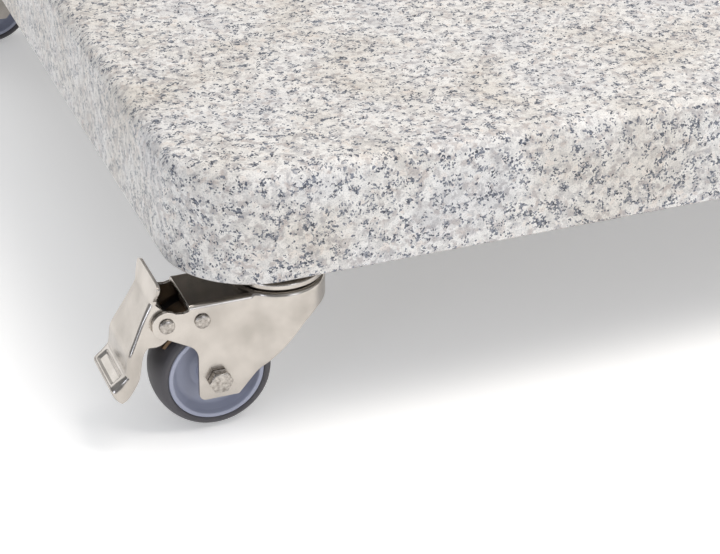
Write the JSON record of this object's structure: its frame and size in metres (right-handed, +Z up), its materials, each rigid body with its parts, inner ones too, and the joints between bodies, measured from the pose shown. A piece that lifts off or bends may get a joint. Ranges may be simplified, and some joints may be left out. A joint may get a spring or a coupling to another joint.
{
  "type": "castor-mounted granite base slab",
  "caption": "Square granite slab with rounded corners and a soft top edge, standing on braked stainless swivel castors with grey soft-tread wheels.",
  "frame": {"origin": "on the floor under the middle of the slab, with the wheels resting on it", "axes": "+Z up; +X along the slab's length, the way the right castors trail; +Y along its width, from the front side to the back"},
  "size_m": [0.7872, 0.7, 0.179],
  "materials": {
    "granite": "honed speckled grey granite",
    "stainless_sheet": "pressed and electropolished stainless sheet",
    "stainless_fastener": "satin stainless fasteners",
    "spring_steel": "dark spring steel",
    "brass_insert": "turned brass",
    "grey_nylon": "moulded satin blue-grey plastic",
    "grey_rubber": "soft matt grey tread"
  },
  "bodies": {
    "base": {"granite_slab": "granite", "front_left_threaded_insert": "brass_insert", "front_left_mounting_bolt": "stainless_fastener", "front_left_swivel_head": "stainless_sheet", "front_right_threaded_insert": "brass_insert", "front_right_mounting_bolt": "stainless_fastener", "front_right_swivel_head": "stainless_sheet", "back_left_threaded_insert": "brass_insert", "back_left_mounting_bolt": "stainless_fastener", "back_left_swivel_head": "stainless_sheet", "back_right_threaded_insert": "brass_insert", "back_right_mounting_bolt": "stainless_fastener", "back_right_swivel_head": "stainless_sheet"},
    "front_left_fork": {"front_left_fork": "stainless_sheet", "front_left_axle_bolt": "stainless_fastener", "front_left_axle_nut": "stainless_fastener", "front_left_axle_sleeve": "stainless_fastener", "front_left_lever_pin": "stainless_fastener", "front_left_shoe_pin": "stainless_fastener"},
    "front_left_wheel": {"front_left_wheel_rim": "grey_nylon", "front_left_tyre": "grey_rubber"},
    "front_left_lever": {"front_left_brake_lever": "stainless_sheet"},
    "front_left_shoe": {"front_left_brake_shoe": "spring_steel"},
    "front_left_cage": {"front_left_ball_cage": "spring_steel"},
    "front_right_fork": {"front_right_fork": "stainless_sheet", "front_right_axle_bolt": "stainless_fastener", "front_right_axle_nut": "stainless_fastener", "front_right_axle_sleeve": "stainless_fastener", "front_right_lever_pin": "stainless_fastener", "front_right_shoe_pin": "stainless_fastener"},
    "front_right_wheel": {"front_right_wheel_rim": "grey_nylon", "front_right_tyre": "grey_rubber"},
    "front_right_lever": {"front_right_brake_lever": "stainless_sheet"},
    "front_right_shoe": {"front_right_brake_shoe": "spring_steel"},
    "front_right_cage": {"front_right_ball_cage": "spring_steel"},
    "back_left_fork": {"back_left_fork": "stainless_sheet", "back_left_axle_bolt": "stainless_fastener", "back_left_axle_nut": "stainless_fastener", "back_left_axle_sleeve": "stainless_fastener", "back_left_lever_pin": "stainless_fastener", "back_left_shoe_pin": "stainless_fastener"},
    "back_left_wheel": {"back_left_wheel_rim": "grey_nylon", "back_left_tyre": "grey_rubber"},
    "back_left_lever": {"back_left_brake_lever": "stainless_sheet"},
    "back_left_shoe": {"back_left_brake_shoe": "spring_steel"},
    "back_left_cage": {"back_left_ball_cage": "spring_steel"},
    "back_right_fork": {"back_right_fork": "stainless_sheet", "back_right_axle_bolt": "stainless_fastener", "back_right_axle_nut": "stainless_fastener", "back_right_axle_sleeve": "stainless_fastener", "back_right_lever_pin": "stainless_fastener", "back_right_shoe_pin": "stainless_fastener"},
    "back_right_wheel": {"back_right_wheel_rim": "grey_nylon", "back_right_tyre": "grey_rubber"},
    "back_right_lever": {"back_right_brake_lever": "stainless_sheet"},
    "back_right_shoe": {"back_right_brake_shoe": "spring_steel"},
    "back_right_cage": {"back_right_ball_cage": "spring_steel"}
  },
  "joints": [
    {"name": "front_left_swivel", "type": "hinge", "parent": "base", "child": "front_left_fork", "pos_m": [-0.282, -0.306, 0.091], "axis": [0, 0, 1], "continuous": true},
    {"name": "front_left_wheel_spin", "type": "hinge", "parent": "front_left_fork", "child": "front_left_wheel", "pos_m": [-0.327, -0.306, 0.0375], "axis": [0, 1, 0], "continuous": true},
    {"name": "front_left_lever_release", "type": "hinge", "parent": "front_left_fork", "child": "front_left_lever", "pos_m": [-0.35759, -0.306, 0.08054], "axis": [0, 1, 0], "range_deg": [0, 22]},
    {"name": "front_left_shoe_lift", "type": "hinge", "parent": "front_left_fork", "child": "front_left_shoe", "pos_m": [-0.33598, -0.306, 0.07976], "axis": [0, 1, 0], "range_deg": [0, 6]},
    {"name": "front_left_cage_turn", "type": "hinge", "parent": "base", "child": "front_left_cage", "pos_m": [-0.282, -0.306, 0.0945], "axis": [0, 0, 1], "continuous": true},
    {"name": "front_right_swivel", "type": "hinge", "parent": "base", "child": "front_right_fork", "pos_m": [0.282, -0.306, 0.091], "axis": [0, 0, 1], "continuous": true},
    {"name": "front_right_wheel_spin", "type": "hinge", "parent": "front_right_fork", "child": "front_right_wheel", "pos_m": [0.327, -0.306, 0.0375], "axis": [0, -1, 0], "continuous": true},
    {"name": "front_right_lever_release", "type": "hinge", "parent": "front_right_fork", "child": "front_right_lever", "pos_m": [0.35759, -0.306, 0.08054], "axis": [0, -1, 0], "range_deg": [0, 22]},
    {"name": "front_right_shoe_lift", "type": "hinge", "parent": "front_right_fork", "child": "front_right_shoe", "pos_m": [0.33598, -0.306, 0.07976], "axis": [0, -1, 0], "range_deg": [0, 6]},
    {"name": "front_right_cage_turn", "type": "hinge", "parent": "base", "child": "front_right_cage", "pos_m": [0.282, -0.306, 0.0945], "axis": [0, 0, 1], "continuous": true},
    {"name": "back_left_swivel", "type": "hinge", "parent": "base", "child": "back_left_fork", "pos_m": [-0.282, 0.306, 0.091], "axis": [0, 0, 1], "continuous": true},
    {"name": "back_left_wheel_spin", "type": "hinge", "parent": "back_left_fork", "child": "back_left_wheel", "pos_m": [-0.327, 0.306, 0.0375], "axis": [0, 1, 0], "continuous": true},
    {"name": "back_left_lever_release", "type": "hinge", "parent": "back_left_fork", "child": "back_left_lever", "pos_m": [-0.35759, 0.306, 0.08054], "axis": [0, 1, 0], "range_deg": [0, 22]},
    {"name": "back_left_shoe_lift", "type": "hinge", "parent": "back_left_fork", "child": "back_left_shoe", "pos_m": [-0.33598, 0.306, 0.07976], "axis": [0, 1, 0], "range_deg": [0, 6]},
    {"name": "back_left_cage_turn", "type": "hinge", "parent": "base", "child": "back_left_cage", "pos_m": [-0.282, 0.306, 0.0945], "axis": [0, 0, 1], "continuous": true},
    {"name": "back_right_swivel", "type": "hinge", "parent": "base", "child": "back_right_fork", "pos_m": [0.282, 0.306, 0.091], "axis": [0, 0, 1], "continuous": true},
    {"name": "back_right_wheel_spin", "type": "hinge", "parent": "back_right_fork", "child": "back_right_wheel", "pos_m": [0.327, 0.306, 0.0375], "axis": [0, -1, 0], "continuous": true},
    {"name": "back_right_lever_release", "type": "hinge", "parent": "back_right_fork", "child": "back_right_lever", "pos_m": [0.35759, 0.306, 0.08054], "axis": [0, -1, 0], "range_deg": [0, 22]},
    {"name": "back_right_shoe_lift", "type": "hinge", "parent": "back_right_fork", "child": "back_right_shoe", "pos_m": [0.33598, 0.306, 0.07976], "axis": [0, -1, 0], "range_deg": [0, 6]},
    {"name": "back_right_cage_turn", "type": "hinge", "parent": "base", "child": "back_right_cage", "pos_m": [0.282, 0.306, 0.0945], "axis": [0, 0, 1], "continuous": true}
  ],
  "couplings": [
    {"joint": "front_left_shoe_lift", "follows": "front_left_lever_release", "ratio": 0.27},
    {"joint": "front_left_cage_turn", "follows": "front_left_swivel", "ratio": 0.5},
    {"joint": "front_right_shoe_lift", "follows": "front_right_lever_release", "ratio": 0.27},
    {"joint": "front_right_cage_turn", "follows": "front_right_swivel", "ratio": 0.5},
    {"joint": "back_left_shoe_lift", "follows": "back_left_lever_release", "ratio": 0.27},
    {"joint": "back_left_cage_turn", "follows": "back_left_swivel", "ratio": 0.5},
    {"joint": "back_right_shoe_lift", "follows": "back_right_lever_release", "ratio": 0.27},
    {"joint": "back_right_cage_turn", "follows": "back_right_swivel", "ratio": 0.5}
  ]
}
